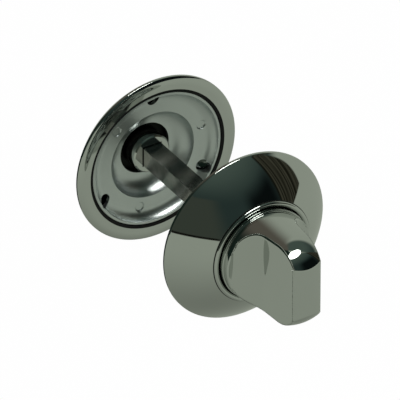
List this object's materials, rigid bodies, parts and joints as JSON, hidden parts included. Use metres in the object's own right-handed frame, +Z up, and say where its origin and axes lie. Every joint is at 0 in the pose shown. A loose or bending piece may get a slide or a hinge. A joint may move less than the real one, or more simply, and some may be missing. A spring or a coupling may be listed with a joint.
{
  "type": "bathroom thumb turn lock",
  "caption": "Chrome bathroom turn and release set: conical round roses either side of a door, a scooped thumb turn inside, a coin-slot release outside, joined by a square spindle.",
  "frame": {"origin": "on the spindle's axis, in the plane where the inside rose meets the door", "axes": "+Y along the spindle through the door to the release side, -Y towards the thumb turn's face, +Z up along the blade at rest"},
  "size_m": [0.053, 0.0939, 0.053],
  "materials": {
    "chrome": "mirror chrome plate on a zinc casting",
    "plated_casting": "bright plate over an unpolished zinc casting",
    "spindle_steel": "drawn square steel bar, zinc plated",
    "spring_steel": "bright spring strip",
    "black_nylon": "black moulded nylon"
  },
  "bodies": {
    "turn_side": {"turn_rose": "chrome", "turn_base_plate": "plated_casting", "turn_snap_ring": "black_nylon", "turn_glide_ring": "black_nylon", "turn_wave_spring": "spring_steel"},
    "turn": {"thumb_turn": "chrome"},
    "release_side": {"release_rose": "chrome", "release_base_plate": "plated_casting", "release_snap_ring": "black_nylon", "release_glide_ring": "black_nylon", "release_wave_spring": "spring_steel"},
    "release": {"release_button": "chrome", "square_spindle": "spindle_steel"}
  },
  "joints": [
    {"name": "thumb_turn_hinge", "type": "hinge", "parent": "turn_side", "child": "turn", "pos_m": [0, 0, 0], "axis": [0, -1, 0], "range_deg": [-90, 90]},
    {"name": "door_fit_slide", "type": "slide", "parent": "turn_side", "child": "release_side", "axis": [0, 1, 0], "range_m": [-0.009, 0.006]},
    {"name": "release_hinge", "type": "hinge", "parent": "release_side", "child": "release", "pos_m": [0, 0.044, 0], "axis": [0, -1, 0], "range_deg": [-90, 90]}
  ],
  "couplings": [
    {"joint": "release_hinge", "follows": "thumb_turn_hinge", "ratio": 1}
  ]
}
